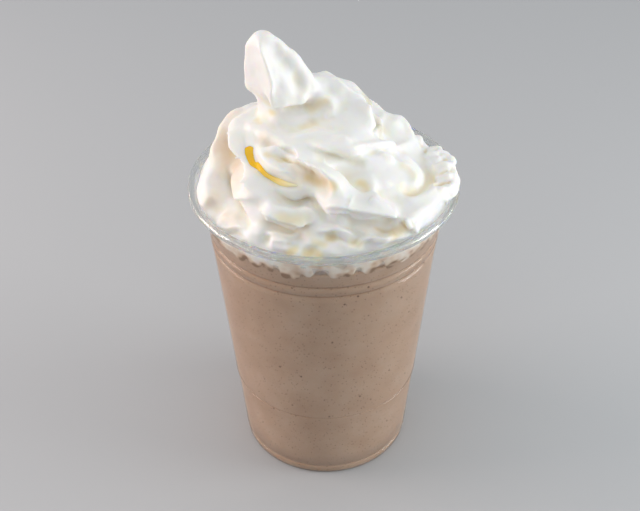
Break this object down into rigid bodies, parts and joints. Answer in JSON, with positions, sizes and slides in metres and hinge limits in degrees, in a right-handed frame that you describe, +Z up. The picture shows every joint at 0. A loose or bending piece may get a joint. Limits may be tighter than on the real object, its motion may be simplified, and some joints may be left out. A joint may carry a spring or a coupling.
{
  "type": "milkshake in a clear cup",
  "caption": "Milkshake in a clear tapered plastic cup, heaped with a piped swirl of whipped cream that ends in a leaning peak.",
  "frame": {"origin": "middle of the cup's foot, on the surface it stands on", "axes": "+Z up along the cup's axis; -Y towards the side from which the swirl is seen; +X to that viewer's right"},
  "size_m": [0.098, 0.098, 0.1802],
  "materials": {
    "cup_plastic": "clear thermoformed plastic, polished",
    "milkshake": "thick smooth drink, satin",
    "whipped_cream": "soft whipped cream, satin"
  },
  "bodies": {
    "root": {"cup": "cup_plastic", "milkshake": "milkshake", "whipped_cream": "whipped_cream"}
  },
  "joints": []
}
